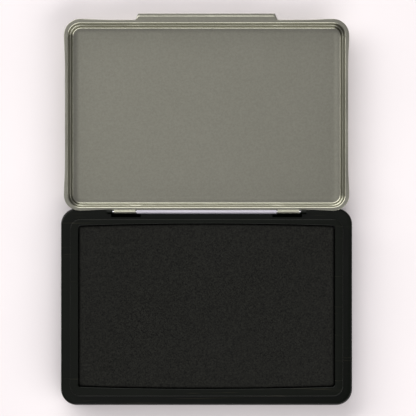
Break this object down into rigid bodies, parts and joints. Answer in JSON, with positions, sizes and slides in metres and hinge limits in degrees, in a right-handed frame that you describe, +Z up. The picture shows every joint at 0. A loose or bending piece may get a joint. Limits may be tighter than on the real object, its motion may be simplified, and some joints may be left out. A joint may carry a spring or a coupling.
{
  "type": "ink pad",
  "caption": "Flat rectangular ink pad: black moulded base with a cloth-covered pad in a raised frame, and a pressed metal lid hinged along one long side.",
  "frame": {"origin": "centre of the base's underside, on the surface it rests on", "axes": "+X to the right along the hinge, +Y from the pad towards the hinge and the opened lid, +Z up"},
  "size_m": [0.1208, 0.1624, 0.0124],
  "materials": {
    "base_plastic": "black, glossy moulded",
    "frame_plastic": "black, satin gloss",
    "inked_cloth": "fine plain weave soaked with black ink",
    "inked_felt": "dense wool felt soaked with black ink",
    "ink_foam": "open-cell foam holding ink",
    "plate_plastic": "plain stiff sheet",
    "rod_steel": "bright drawn wire",
    "sleeve_plastic": "pale, smooth extruded tube",
    "lid_tinplate": "gold-lacquered tinplate, satin"
  },
  "bodies": {
    "base": {"base_tray": "base_plastic", "pad_frame": "frame_plastic", "pad_cloth": "inked_cloth", "felt_core": "inked_felt", "sponge_reservoir": "ink_foam", "backing_plate": "plate_plastic", "hinge_rod": "rod_steel", "hinge_sleeve": "sleeve_plastic"},
    "lid": {"lid_shell": "lid_tinplate"}
  },
  "joints": [
    {"name": "lid_hinge", "type": "hinge", "parent": "base", "child": "lid", "pos_m": [0, 0.0393, 0.0089], "axis": [1, 0, 0], "range_deg": [0, 180]}
  ]
}
